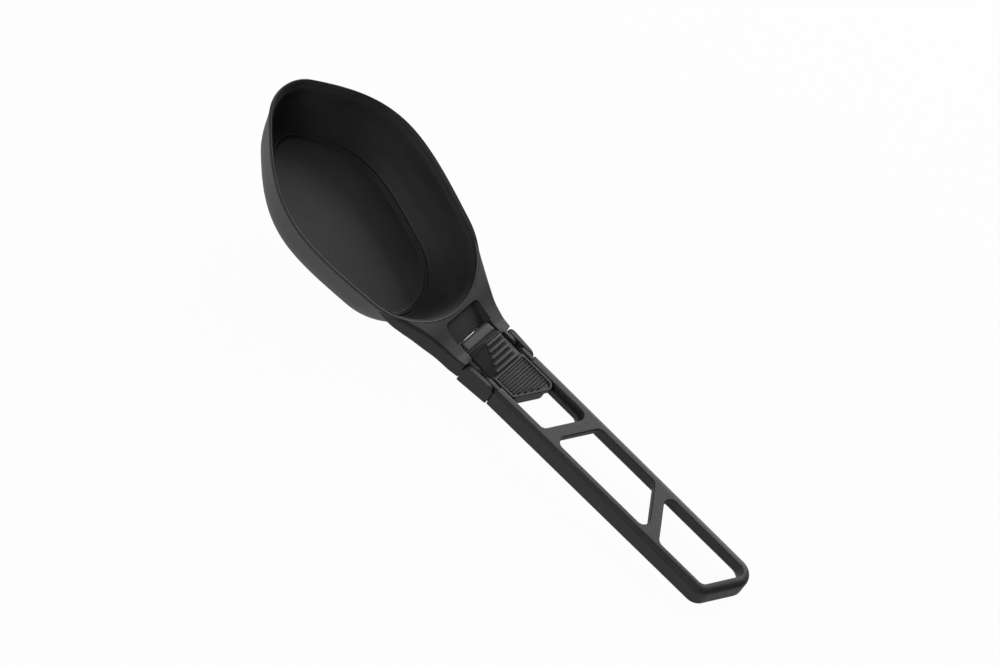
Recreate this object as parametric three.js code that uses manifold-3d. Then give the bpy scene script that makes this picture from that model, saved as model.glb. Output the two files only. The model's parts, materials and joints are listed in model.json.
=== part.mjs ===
// A folding serving spoon of glass-filled nylon, open and locked, resting on the heel of its bowl
// and on the end of its handle.
// Millimetres, +Z up, +X from the bowl's tip towards the handle's end.
// The origin is the middle of the underside of the whole spoon's bounding box.
// The bowl and its neck are one moulding. Two side links join the neck to the handle frame on four
// pins, so that the handle folds forward over the bowl, and a slider in the handle locks it straight.

import * as THREE from 'three';
import { mergeVertices } from 'three/addons/utils/BufferGeometryUtils.js';
import Module from 'manifold-3d';

const wasm = await Module();
wasm.setup();

// Width of the handle, which the neck's end, the hinge and the slider follow
const handleWidth = 24.8;

// Bowl, measured in the plane of its rim
const rimPitch = THREE.MathUtils.degToRad(12);
const bowlLength = 103.8;
const bowlWidth = 70.2;
const bowlDepth = 22.3;
const floorThickness = 1.7;
const wallThickness = 1.2;
const sideDrawIn = 10.8;
const innerRearDrawIn = 9.2;
const innerTipDrawIn = 14.4;
const outerRearDrawIn = 11.8;
const outerTipDrawIn = 13.4;
const rimLipHeight = 1.3;
const outlineSteps = 8;

// The rim's half outline as four cubic curves: shares of the length from the rear and of the half width.
const rimOutlineShares = [
  [[0, 0], [0, 0.39], [0.09, 0.73], [0.215, 0.826]],
  [[0.215, 0.826], [0.323, 0.903], [0.444, 1], [0.554, 1]],
  [[0.554, 1], [0.723, 1], [0.834, 0.718], [0.95, 0.365]],
  [[0.95, 0.365], [0.98, 0.276], [1, 0.148], [1, 0]],
];

// The walls from the rim down: shares of the depth and of the way in from the rim to the floor's edge.
const outerWallShares = [
  [0, 0], [0.046, 0], [0.055, 0.04], [0.075, 0.052], [0.42, 0.3], [0.75, 0.56], [0.9, 0.71],
  [0.97, 0.84], [1, 1],
];
const innerWallShares = [
  [0, 0], [0.03, 0.03], [0.17, 0.13], [0.47, 0.34], [0.72, 0.54], [0.87, 0.72], [0.95, 0.88], [0.962, 0.94],
  [0.96, 0.975], [0.98, 1], [1, 1.04],
];

// Neck, from the hinge to the bowl's rear rim
const neckEndLength = 4;
const neckRun = 12.7;
const neckOverhang = 1.55;
const neckDepth = 9.5;
const neckTopRadius = 1.2;
const neckBottomRadius = 2.6;
const coreDraft = 0.5;
const neckCoreWall = 3.45;

// Places along the neck as shares of its length. The spread is the share of the way from the neck's end
// width to the bowl's width, and depth, rise and edge radius there are shares too.
const neckPlaceShares = [0, 0.244, 0.61, 0.96, 1.22, 1.5, 1.8, 2.2];
const neckSpreadShares = [0, 0.03, 0.097, 0.201, 0.3, 0.418, 0.551, 0.66];
const neckDepthShares = [1, 1, 0.97, 0.92, 0.8, 0.67, 0.54, 0.4];
const neckRiseShares = [0, 0, 0, 0.12, 0.4, 0.65, 0.8, 0.8];
const neckRadiusShares = [0.7, 0.7, 0.8, 1, 1.2, 1.4, 1.4, 1.2];

// Shallow panel in the neck's top, and the window behind it that the slider's nose fills
const panelMargin = 0.8;
const panelSlope = 1.4;
const panelFrontInset = 1;
const panelFrontDrop = 0.9;
const panelRearDrop = 3.6;
const panelFloor = 1.2;
const panelCornerRadius = 2.2;
const windowLength = 7.9;
const windowClearance = 0.4;

// Handle frame
const handleDepth = 9.5;
const handleReach = 125.9;
const railTop = 2.95;
const edgeRadius = 1.1;
const nearEndRadius = 3.5;
const farEndRadius = 5.8;
const endBar = 2.5;
const barAngle = THREE.MathUtils.degToRad(25.2);
const secondBarAngle = THREE.MathUtils.degToRad(33.2);
const firstBarPlace = 40.5;
const secondBarPlace = 84;
const barStep = 5.5;
const barThickness = 3.6;
const openingRadius = 2.8;
const railWallDepth = 2.4;
const railFlare = 1.1;
const railFlareDepth = 1.8;
const skirtEdge = 0.3;
const endUndercut = 1.2;
const ledgeWidth = 2.05;
const ledgeDepth = 2.6;
const ledgeStart = 15.6;

// Hinge
const pivotPlace = 3.7;
const pivotSpacing = 6.8;
const pivotDrop = 3.2;
const prongInset = 1.2;
const prongThickness = 1.6;
const linkGap = 0.3;
const linkEnd = 3.4;
const linkEdge = 0.6;
const linkTopRadius = 2.7;
const linkBottomRadius = 1;
const linkOverhang = 0.3;
const sideClearance = 0.25;
const pinRadius = 1.2;
const pinHeadRadius = 1.9;
const pinHeadThickness = 0.6;
const pinClearance = 0.12;
const pinSkin = 0.6;

// Lock slider
const noseReach = 7.3;
const noseBar = 5;
const noseRadius = 1.6;
const noseDepth = 7.6;
const noseInset = 0.2;
const railClearance = 0.75;
const sliderPlate = 2.15;
const webClearance = 0.3;
const sliderDepth = 5.8;
const sliderRear = 24.8;
const sliderCornerRadius = 2.8;
const padStart = 10.6;
const padRecess = 0.75;
const padBorder = 0.95;
const padRibPitch = 1.19;
const padRibWidth = 0.76;
const padRibDrop = 0.06;
const rampLength = 13.3;
const rampHeight = 5.6;
const rampRibPlace = 2.9;
const rampRibPitch = 2.2;
const rampRibWidth = 1.2;
const rampRibHeight = 0.8;
const rampEdge = 0.35;
const keeperThickness = 1.4;
const keeperLength = 5;
const keeperOverlap = 1;
const keeperClearance = 0.3;

// Places along the thumb ramp as shares of its length, with its height and top width there as shares.
const rampPlaceShares = [0, 0.05, 0.11, 0.15, 0.2, 0.45, 0.7, 0.9, 1];
const rampHeightShares = [0, 0.62, 0.94, 1, 0.87, 0.55, 0.235, -0.01, -0.15];
const rampWidthShares = [0.76, 0.62, 0.53, 0.49, 0.49, 0.54, 0.63, 0.73, 0.78];

// Overrun of every cut, smallest corner radius, and how finely curves are stepped
const overrun = 1;
const smallRadius = 0.3;
const roundEndShare = 0.49;
const cornerSteps = 5;
const edgeSteps = 4;
const roundSteps = 32;

// Frames: everything is built with the handle's top level and the neck's end face at X zero.
const headFrame = new THREE.Matrix4().makeRotationY(rimPitch).setPosition(-neckEndLength, 0, 0);
const outerDepth = bowlDepth + floorThickness;
const neckLength = neckEndLength + neckRun * Math.cos(rimPitch);
const neckEndWidth = handleWidth + 2 * neckOverhang;
const neckCoreWidth = neckEndWidth - 2 * neckCoreWall;
const innerHalf = handleWidth / 2 - railTop;
const sliderWidth = 2 * (innerHalf - railClearance);
const noseWidth = sliderWidth - 2 * noseInset;
const webWidth = 2 * (innerHalf - ledgeWidth - webClearance);
const keeperWidth = webWidth + 2 * keeperOverlap;
const windowWidth = noseWidth + 2 * windowClearance;
const panelWidth = windowWidth + 2 * panelMargin;
const panelFloorWidth = panelWidth - 2 * panelSlope;
const prongOuter = handleWidth / 2 - prongInset;
const prongInner = prongOuter - prongThickness;
const linkRearWidth = handleWidth + 2 * linkOverhang;
const linkInner = prongOuter + sideClearance;
const linkOuter = neckEndWidth / 2;
const rearPivot = pivotPlace + pivotSpacing;
const handleFront = rearPivot + linkEnd + linkGap;

function vector(x, y) {
  return new THREE.Vector2(x, y);
}

function point3(x, y, z) {
  return new THREE.Vector3(x, y, z);
}

function solid(geometry) {
  const bare = geometry.clone();
  bare.deleteAttribute('normal');
  bare.deleteAttribute('uv');
  const merged = mergeVertices(bare);
  const mesh = new wasm.Mesh({
    numProp: 3,
    vertProperties: new Float32Array(merged.attributes.position.array),
    triVerts: new Uint32Array(merged.index.array),
  });
  return new wasm.Manifold(mesh);
}

function namedMesh(manifold, name, material) {
  const { vertProperties, triVerts } = manifold.getMesh();
  const geometry = new THREE.BufferGeometry();
  geometry.setAttribute('position', new THREE.BufferAttribute(new Float32Array(vertProperties), 3));
  geometry.setIndex(new THREE.BufferAttribute(new Uint32Array(triVerts), 1));
  geometry.computeVertexNormals();
  const mesh = new THREE.Mesh(geometry, material);
  mesh.name = name;
  return mesh;
}

// A closed surface through rings of equally many points, with a fan over each end ring.
function loft(rings) {
  const count = rings[0].length;
  const points = rings.flat();
  const index = [];
  for (let ring = 0; ring + 1 < rings.length; ring += 1) {
    for (let i = 0; i < count; i += 1) {
      const a = ring * count + i;
      const b = ring * count + ((i + 1) % count);
      index.push(a, b, b + count, a, b + count, a + count);
    }
  }
  [rings[0], rings.at(-1)].forEach((ring, end) => {
    const centre = ring.reduce((sum, point) => sum.add(point), point3(0, 0, 0)).divideScalar(count);
    const base = end * (rings.length - 1) * count;
    points.push(centre);
    for (let i = 0; i < count; i += 1) {
      const a = base + i;
      const b = base + ((i + 1) % count);
      index.push(points.length - 1, end ? a : b, end ? b : a);
    }
  });
  let volume = 0;
  for (let i = 0; i < index.length; i += 3) {
    const [a, b, c] = index.slice(i, i + 3).map((corner) => points[corner]);
    volume += a.dot(b.clone().cross(c));
  }
  if (volume < 0) index.reverse();
  const geometry = new THREE.BufferGeometry().setFromPoints(points);
  geometry.setIndex(index);
  return geometry;
}

// Corners joined by arcs, each corner with its own radius.
function roundedOutline(corners, radii, steps = cornerSteps) {
  return corners.flatMap((corner, i) => {
    const before = corners.at(i - 1).clone().sub(corner).normalize();
    const after = corners[(i + 1) % corners.length].clone().sub(corner).normalize();
    const half = Math.acos(before.dot(after)) / 2;
    const radius = radii[i];
    const inward = before.clone().add(after).normalize();
    const centre = corner.clone().addScaledVector(inward, radius / Math.sin(half));
    const start = corner.clone().addScaledVector(before, radius / Math.tan(half)).sub(centre).angle();
    const end = corner.clone().addScaledVector(after, radius / Math.tan(half)).sub(centre).angle();
    const turn = THREE.MathUtils.euclideanModulo(end - start + Math.PI, 2 * Math.PI) - Math.PI;
    return Array.from({ length: steps + 1 }, (_, step) => {
      const angle = start + (turn * step) / steps;
      return vector(Math.cos(angle), Math.sin(angle)).multiplyScalar(radius).add(centre);
    });
  });
}

// The corners of a convex outline that runs anticlockwise, with every side moved inward.
function insetCorners(corners, inset) {
  return corners.map((corner, i) => {
    const before = corner.clone().sub(corners.at(i - 1)).normalize();
    const after = corners[(i + 1) % corners.length].clone().sub(corner).normalize();
    const inward = vector(-before.y - after.y, before.x + after.x);
    return corner.clone().addScaledVector(inward, inset / (1 + before.dot(after)));
  });
}

// Rings of one outline at the given insets and levels, joined into a solid.
function steppedGeometry(corners, radii, levels, steps = cornerSteps) {
  return loft(levels.map(([inset, level]) => {
    const shrunk = radii.map((radius) => Math.max(radius - inset, smallRadius));
    const outline = roundedOutline(insetCorners(corners, inset), shrunk, steps);
    return outline.map((point) => point3(point.x, point.y, level));
  }));
}

// Levels of a plate whose lower and upper edges are rounded.
function plateLevels(low, high, lowRadius, highRadius) {
  const quarter = Array.from({ length: edgeSteps + 1 }, (_, step) => (step * Math.PI) / 2 / edgeSteps);
  const lower = quarter.map((angle) => [1 - Math.sin(angle), 1 - Math.cos(angle)]);
  const upper = quarter.map((angle) => [1 - Math.cos(angle), 1 - Math.sin(angle)]);
  return [
    ...lower.map(([inset, rise]) => [lowRadius * inset, low + lowRadius * rise]),
    ...upper.map(([inset, drop]) => [highRadius * inset, high - highRadius * drop]),
  ];
}

// The corners of an oblong, anticlockwise.
function oblong(rear, front, low, high) {
  return [vector(rear, low), vector(front, low), vector(front, high), vector(rear, high)];
}

function box(low, high) {
  const size = high.clone().sub(low);
  const middle = high.clone().add(low).divideScalar(2);
  return new THREE.BoxGeometry(size.x, size.y, size.z).translate(middle.x, middle.y, middle.z);
}

function cylinderAlongY(radius, low, high) {
  return new THREE.CylinderGeometry(radius, radius, high - low, roundSteps).translate(0, (low + high) / 2, 0);
}

function mirrored(manifold) {
  return manifold.mirror([0, 1, 0]);
}

// Bowl: rings of the rim's outline, drawn in towards the floor's outline as they go down.
function rimPoints() {
  const half = rimOutlineShares.flatMap((curve, i) => {
    const points = new THREE.CubicBezierCurve(...curve.map(([x, y]) => vector(x, y))).getPoints(outlineSteps);
    return i ? points.slice(1) : points;
  });
  const back = half.slice(1, -1).reverse().map((point) => vector(point.x, -point.y));
  return [...half, ...back].map((point) => vector(-neckRun - point.x * bowlLength, point.y * bowlWidth / 2));
}

function bowlRing(inwardShare, rearDrawIn, tipDrawIn, wall, level) {
  const rim = rimPoints();
  const lengthShare = 1 - (inwardShare * (rearDrawIn + tipDrawIn)) / bowlLength;
  const widthShare = 1 - (inwardShare * sideDrawIn) / (bowlWidth / 2);
  return rim.map((point, i) => {
    const along = rim[(i + 1) % rim.length].clone().sub(rim.at(i - 1)).normalize();
    const x = -neckRun - inwardShare * rearDrawIn + (point.x + neckRun) * lengthShare;
    return point3(x - along.y * wall, point.y * widthShare + along.x * wall, level).applyMatrix4(headFrame);
  });
}

function outerRings() {
  return outerWallShares.map(([down, inward]) => bowlRing(
    inward,
    outerRearDrawIn,
    outerTipDrawIn,
    0,
    rimLipHeight - outerDepth * down,
  ));
}

function innerRing(inward, level) {
  return bowlRing(inward, innerRearDrawIn, innerTipDrawIn, wallThickness, level);
}

function innerRings() {
  return innerWallShares.map(([down, inward]) => innerRing(inward, rimLipHeight - bowlDepth * down));
}

function bowlShell() {
  return solid(loft([...outerRings().reverse(), ...innerRings()]));
}

function bowlHollow() {
  return solid(loft([innerRing(0, rimLipHeight + overrun), ...innerRings()]));
}

// Neck: sections across, level as far as the bend and rising with the rim beyond it.
function neckTopAt(x) {
  return Math.tan(rimPitch) * Math.max(0, -neckEndLength - x);
}

function neckSection(i) {
  const x = -neckLength * neckPlaceShares[i];
  const half = (neckEndWidth + (bowlWidth - neckEndWidth) * neckSpreadShares[i]) / 2;
  const top = neckTopAt(x) + rimLipHeight * neckRiseShares[i];
  const low = neckTopAt(x) - neckDepth * neckDepthShares[i];
  const corners = oblong(-half, half, low, top);
  const high = neckTopRadius * neckRadiusShares[i];
  const under = neckBottomRadius * neckDepthShares[i];
  return roundedOutline(corners, [under, under, high, high]).map((point) => point3(x, point.x, point.y));
}

// The panel's sloping sides and floor run down from the rim's lip to the window.
function neckPanel() {
  const front = neckLength - panelFrontInset;
  const rear = overrun - windowLength;
  const outline = oblong(-front, rear + overrun, -panelWidth / 2, panelWidth / 2);
  const outlineRadii = [panelCornerRadius, smallRadius, smallRadius, panelCornerRadius];
  const reach = [[0, -neckDepth], [0, neckTopAt(-front) + neckDepth]];
  const places = [[-front, panelFrontDrop], [rear, panelRearDrop]];
  const slopes = solid(loft(places.map(([x, drop]) => {
    const top = neckTopAt(x);
    const corners = [
      vector(-panelFloorWidth / 2, top - drop), vector(panelFloorWidth / 2, top - drop),
      vector(panelWidth / 2 + panelSlope * (overrun / drop), top + overrun),
      vector(-panelWidth / 2 - panelSlope * (overrun / drop), top + overrun),
    ];
    const radii = [smallRadius, smallRadius, smallRadius, smallRadius];
    return roundedOutline(corners, radii).map((point) => point3(x, point.x, point.y));
  })));
  return slopes.intersect(solid(steppedGeometry(outline, outlineRadii, reach)));
}

function neckWindow() {
  const corners = oblong(-windowLength, overrun, -windowWidth / 2, windowWidth / 2);
  const radii = [smallRadius, smallRadius, smallRadius, smallRadius];
  return solid(steppedGeometry(corners, radii, [[0, -neckDepth - overrun], [0, overrun]]));
}

// The hollow under the neck opens into the window and leaves a thin floor beneath the panel.
function neckCore() {
  const front = -neckLength - outerRearDrawIn / 2;
  const corners = oblong(front, overrun - windowLength, -neckCoreWidth / 2, neckCoreWidth / 2);
  const radii = [openingRadius, openingRadius, openingRadius, openingRadius];
  const levels = [[-coreDraft, -neckDepth - overrun], [0, -panelRearDrop - panelFloor]];
  return solid(steppedGeometry(corners, radii, levels));
}

// A prong is a bar with a round end about its pivot, bored for the pin and its head.
function prong(pivot, root) {
  const bar = solid(box(
    point3(Math.min(pivot, root), prongInner, -2 * pivotDrop),
    point3(Math.max(pivot, root), prongOuter, 0),
  ));
  const atPivot = (radius, low, high) => {
    const round = cylinderAlongY(radius, low, high);
    return solid(round.translate(pivot, 0, -pivotDrop));
  };
  return bar
    .add(atPivot(pivotDrop, prongInner, prongOuter))
    .subtract(atPivot(pinRadius + pinClearance, prongInner - overrun, prongOuter + overrun))
    .subtract(atPivot(pinHeadRadius + pinClearance, prongInner - overrun, prongInner + pinHeadThickness));
}

function bowlHead(material) {
  const sections = neckPlaceShares.map((_, i) => neckSection(i));
  const neck = solid(loft(sections))
    .subtract(bowlHollow())
    .subtract(neckPanel())
    .subtract(neckWindow())
    .subtract(neckCore());
  const side = prong(pivotPlace, -neckEndLength / 2);
  return namedMesh(bowlShell().add(neck).add(side).add(mirrored(side)), 'bowl_head', material);
}

// Handle frame: a block with rounded edges, less the openings and the hollow of the underside.
function handleBlock() {
  const half = handleWidth / 2;
  const slope = Math.tan(barAngle);
  const corners = [
    vector(handleFront, -half), vector(handleReach - slope * half, -half),
    vector(handleReach + slope * half, half), vector(handleFront, half),
  ];
  const radii = [edgeRadius, nearEndRadius, farEndRadius, edgeRadius];
  return solid(steppedGeometry(corners, radii, plateLevels(-handleDepth, 0, edgeRadius, edgeRadius)));
}

const openings = [
  {
    front: firstBarPlace + barStep,
    frontAngle: barAngle,
    rear: secondBarPlace,
    rearAngle: -secondBarAngle,
  },
  {
    front: secondBarPlace + barStep,
    frontAngle: -secondBarAngle,
    rear: handleReach - endBar / Math.cos(barAngle),
    rearAngle: barAngle,
  },
];
const slideway = {
  front: handleFront - openingRadius,
  frontAngle: 0,
  rear: firstBarPlace,
  rearAngle: barAngle,
};
const tipLevel = -railWallDepth - railFlareDepth;

// How far out the sloping underside of a rail has come at a level below the rail's tip.
function undersideHalfAt(level) {
  const share = (tipLevel - level) / (handleDepth + tipLevel);
  return innerHalf - railFlare + share * (handleWidth / 2 - skirtEdge - innerHalf + railFlare);
}

// An opening's outline at one level: its sides and its slanted ends are moved inward on their own.
function openingRing(opening, sideInset, endInset, level) {
  const half = innerHalf - sideInset;
  const front = opening.front + endInset;
  const rear = opening.rear - endInset;
  const frontRun = Math.tan(opening.frontAngle) * half;
  const rearRun = Math.tan(opening.rearAngle) * half;
  const corners = [
    vector(front - frontRun, -half), vector(rear - rearRun, -half),
    vector(rear + rearRun, half), vector(front + frontRun, half),
  ];
  const radius = openingRadius - Math.min(sideInset, endInset);
  const outline = roundedOutline(corners, [radius, radius, radius, radius]);
  return outline.map((point) => point3(point.x, point.y, level));
}

// The cut through an opening: rounded top edge, upright wall, flare or ledge, and the slope below.
function openingCut(opening, shelf) {
  const rounding = Array.from({ length: edgeSteps + 1 }, (_, step) => {
    const angle = (step * Math.PI) / 2 / edgeSteps;
    const inset = edgeRadius * (Math.sin(angle) - 1);
    return [inset, inset, edgeRadius * (Math.cos(angle) - 1)];
  });
  const ledgeLow = -railWallDepth - ledgeDepth;
  const ledge = [
    [ledgeWidth, 0, -railWallDepth], [ledgeWidth, 0, ledgeLow],
    [innerHalf - undersideHalfAt(ledgeLow), 0, ledgeLow],
  ];
  const wall = shelf ? ledge : [[railFlare, 0, tipLevel]];
  const bottom = -handleDepth - overrun;
  const levels = [
    [-edgeRadius, -edgeRadius, overrun], ...rounding, [0, 0, -railWallDepth], ...wall,
    [innerHalf - undersideHalfAt(bottom), -endUndercut, bottom],
  ];
  return solid(loft(levels.map(([side, end, level]) => openingRing(opening, side, end, level))));
}

// Under the two bars the rails keep the section that they have beside the openings.
function underside() {
  const tipHalf = innerHalf - railFlare;
  const bottom = -handleDepth - overrun;
  const lowHalf = undersideHalfAt(bottom);
  const section = [
    vector(-tipHalf, -barThickness), vector(tipHalf, -barThickness), vector(tipHalf, tipLevel),
    vector(lowHalf, bottom), vector(-lowHalf, bottom), vector(-tipHalf, tipLevel),
  ];
  const places = [
    [firstBarPlace - overrun, barAngle],
    [secondBarPlace + barStep + overrun, -secondBarAngle],
  ];
  return solid(loft(places.map(([x, angle]) => section.map((point) => (
    point3(x + Math.tan(angle) * point.x, point.x, point.y)
  )))));
}

// In front of the ledges the slideway is open from rail to rail.
function slidewayMouth() {
  return solid(box(
    point3(handleFront - overrun, -innerHalf, -handleDepth - overrun),
    point3(ledgeStart, innerHalf, overrun),
  ));
}

function handleBody(material) {
  let body = handleBlock().subtract(underside());
  body = body.subtract(openingCut(slideway, true)).subtract(slidewayMouth());
  openings.forEach((opening) => {
    body = body.subtract(openingCut(opening, false));
  });
  const side = prong(rearPivot, handleFront + edgeRadius / 2);
  return namedMesh(body.add(side).add(mirrored(side)), 'handle_frame', material);
}

// Side link: its outer face narrows from the neck's width to the handle's.
function sideLink(name, side, material) {
  const front = pivotPlace - linkEnd;
  const rear = rearPivot + linkEnd;
  const corners = oblong(front, rear, -handleDepth, 0);
  const radii = [linkBottomRadius, linkBottomRadius, linkTopRadius, linkTopRadius];
  const levels = plateLevels(linkInner, linkOuter, linkEdge / 2, linkEdge);
  const geometry = steppedGeometry(corners, radii, levels);
  const places = geometry.attributes.position;
  for (let i = 0; i < places.count; i += 1) {
    const [x, z, y] = [places.getX(i), places.getY(i), places.getZ(i)];
    const outward = (y - linkInner) / (linkOuter - linkInner);
    const narrowing = ((x - front) / (rear - front)) * (linkOuter - linkRearWidth / 2);
    places.setXYZ(i, x, y - outward * narrowing, z);
  }
  geometry.index.array.reverse();
  let link = solid(geometry);
  [pivotPlace, rearPivot].forEach((x) => {
    const bore = cylinderAlongY(pinRadius + pinClearance, linkInner - overrun, pinTip() + pinClearance);
    link = link.subtract(solid(bore.translate(x, 0, -pivotDrop)));
  });
  return namedMesh(side > 0 ? link : mirrored(link), name, material);
}

function pinTip() {
  return linkRearWidth / 2 - pinSkin;
}

// Headed pin, pushed outward through a prong into the blind hole of a link.
function hingePin(name, x, side, material) {
  const face = prongInner + pinClearance / 2;
  const back = prongInner + pinHeadThickness - pinClearance;
  const profile = [
    vector(0, face), vector(pinHeadRadius, face), vector(pinHeadRadius, back),
    vector(pinRadius, back), vector(pinRadius, pinTip()), vector(0, pinTip()),
  ];
  const pin = solid(new THREE.LatheGeometry(profile, roundSteps).translate(x, 0, -pivotDrop));
  return namedMesh(side > 0 ? pin : mirrored(pin), name, material);
}

// Lock slider: a ribbed thumb pad behind a raised ribbed ramp, and a nose bar that reaches into the neck.
const rampStart = noseBar - noseReach;

function padCorners(half) {
  const slope = Math.tan(barAngle);
  return [
    vector(padStart, -half), vector(sliderRear - slope * half, -half),
    vector(sliderRear + slope * half, half), vector(padStart, half),
  ];
}

const padRadii = [smallRadius, sliderCornerRadius / 2, sliderCornerRadius, smallRadius];

function padPlate() {
  const levels = plateLevels(-sliderPlate, 0, smallRadius / 2, smallRadius);
  return solid(steppedGeometry(padCorners(sliderWidth / 2), padRadii, levels));
}

function padWeb() {
  const levels = plateLevels(-sliderDepth, -sliderPlate / 2, smallRadius, smallRadius / 2);
  return solid(steppedGeometry(padCorners(webWidth / 2), padRadii, levels));
}

function padRecessCut() {
  const levels = [[padBorder, -padRecess], [padBorder, overrun]];
  return solid(steppedGeometry(padCorners(sliderWidth / 2), padRadii, levels));
}

// A low bar with round ends across the slider.
function crossRib(x, low, high, width, bottom, top) {
  const corners = oblong(x - width / 2, x + width / 2, low, high);
  const radius = width * roundEndShare;
  const outline = roundedOutline(corners, [radius, radius, radius, radius], edgeSteps);
  const shape = new THREE.Shape(outline);
  const rib = new THREE.ExtrudeGeometry(shape, { depth: top - bottom, bevelEnabled: false });
  return rib.translate(0, 0, bottom);
}

function padRibs() {
  const slope = Math.tan(barAngle);
  const half = sliderWidth / 2 - padBorder - padRibWidth / 2;
  const rear = sliderRear - padBorder / Math.cos(barAngle) - padRibWidth;
  const first = padStart + padBorder + padRibPitch / 2;
  const count = Math.floor((rear + slope * (half - sliderCornerRadius) - first) / padRibPitch) + 1;
  return Array.from({ length: count }, (_, i) => {
    const x = first + i * padRibPitch;
    const low = Math.max(-half, (x - rear) / slope);
    return solid(crossRib(x, low, half, padRibWidth, -padRecess - smallRadius, -padRibDrop));
  });
}

// Nose: a smooth bar with rounded edges, and the plate and web that join it to the pad.
function noseBody() {
  const half = noseWidth / 2;
  const barCorners = oblong(-noseReach, noseBar - noseReach, -half, half);
  const radii = [noseRadius, smallRadius, smallRadius, noseRadius];
  const barLevels = plateLevels(-sliderPlate, 0, smallRadius, noseRadius);
  const bar = solid(steppedGeometry(barCorners, radii, barLevels));
  const plate = solid(box(
    point3(-noseReach + noseBar / 2, -half, -sliderPlate),
    point3(padStart + overrun, half, -padRecess),
  ));
  const webCorners = oblong(-noseReach, padStart + overrun, -webWidth / 2, webWidth / 2);
  const webLevels = plateLevels(-noseDepth, -sliderPlate / 2, noseRadius, smallRadius);
  const web = solid(steppedGeometry(webCorners, radii, webLevels));
  return bar.add(plate).add(web);
}

function rampSection(i) {
  const base = noseWidth / 2;
  const top = base * rampWidthShares[i];
  const height = rampHeight * rampHeightShares[i];
  const x = rampStart + rampLength * rampPlaceShares[i];
  const corners = [
    [-base, -sliderPlate], [base, -sliderPlate], [base, -padRecess], [top + rampEdge, height - rampEdge],
    [top, height], [-top, height], [-top - rampEdge, height - rampEdge], [-base, -padRecess],
  ];
  return corners.map(([y, z]) => point3(x, y, z));
}

function rampShareAt(shares, x) {
  const along = (x - rampStart) / rampLength;
  const next = Math.max(1, rampPlaceShares.findIndex((place) => place >= along));
  const before = rampPlaceShares[next - 1];
  const within = (along - before) / (rampPlaceShares[next] - before);
  return shares[next - 1] + within * (shares[next] - shares[next - 1]);
}

function rampRibs() {
  const count = Math.floor((rampLength - rampRibPlace) / rampRibPitch) + 1;
  const slope = Math.atan2(rampHeight, rampLength - rampRibPlace);
  return Array.from({ length: count }, (_, i) => {
    const x = rampStart + rampRibPlace + i * rampRibPitch;
    const half = (noseWidth / 2) * rampShareAt(rampWidthShares, x) + rampEdge / 2;
    const rib = crossRib(0, -half, half, rampRibWidth, -rampRibWidth, rampRibHeight);
    return solid(rib.rotateY(slope).translate(x, 0, rampHeight * rampShareAt(rampHeightShares, x)));
  });
}

// The keeper runs under the ledges and holds the slider down.
function keeper() {
  const top = -railWallDepth - ledgeDepth - keeperClearance;
  return solid(box(
    point3(ledgeStart, -keeperWidth / 2, top - keeperThickness),
    point3(ledgeStart + keeperLength, keeperWidth / 2, top),
  ));
}

function lockSlider(material) {
  const ramp = solid(loft(rampPlaceShares.map((_, i) => rampSection(i))));
  let slider = padPlate().subtract(padRecessCut()).add(padWeb()).add(noseBody()).add(ramp).add(keeper());
  [...padRibs(), ...rampRibs()].forEach((rib) => {
    slider = slider.add(rib);
  });
  return namedMesh(slider, 'lock_slider', material);
}

const nylon = new THREE.MeshStandardMaterial({ color: 0x2b2c2e, roughness: 0.55, metalness: 0 });
const sliderNylon = new THREE.MeshStandardMaterial({ color: 0x303133, roughness: 0.6, metalness: 0 });
const steel = new THREE.MeshStandardMaterial({ color: 0x9a9c9e, roughness: 0.35, metalness: 1 });

const spoon = new THREE.Group();
spoon.add(bowlHead(nylon));
spoon.add(handleBody(nylon));
spoon.add(lockSlider(sliderNylon));
[['right', 1], ['left', -1]].forEach(([sideName, side]) => {
  spoon.add(sideLink(`hinge_link_${sideName}`, side, nylon));
  spoon.add(hingePin(`front_pin_${sideName}`, pivotPlace, side, steel));
  spoon.add(hingePin(`rear_pin_${sideName}`, rearPivot, side, steel));
});

// Resting pose: the heel of the bowl and the lower edge of the handle's end are at one level.
const heel = point3(-neckRun - outerRearDrawIn, 0, rimLipHeight - outerDepth).applyMatrix4(headFrame);
spoon.rotation.y = Math.atan2(-handleDepth - heel.z, handleReach - heel.x);
const extent = new THREE.Box3().setFromObject(spoon, true);
spoon.position.set(-(extent.min.x + extent.max.x) / 2, 0, -extent.min.z);

export default spoon;
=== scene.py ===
# %% [markdown]
# A folding serving spoon, dressed from its CAD frame.
#
# The real thing is moulded in charcoal-black nylon filled with fine glass fibre. It has a deep bowl with
# a flaring neck, an open handle of rails and slanted bars, two short hinge links on steel pins, and a
# lock slider with a ribbed thumb pad. This notebook builds each of these moulded pieces again as a smooth
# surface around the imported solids, gives them their material, and lights them on a plain pale floor.
#
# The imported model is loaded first. Everything below is in metres and in the same frame: +X runs from the
# bowl's tip to the handle's end and +Z is up.

# %% Load the frame
import json
import math

import bpy
import numpy as np
from mathutils import Matrix, Vector


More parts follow.
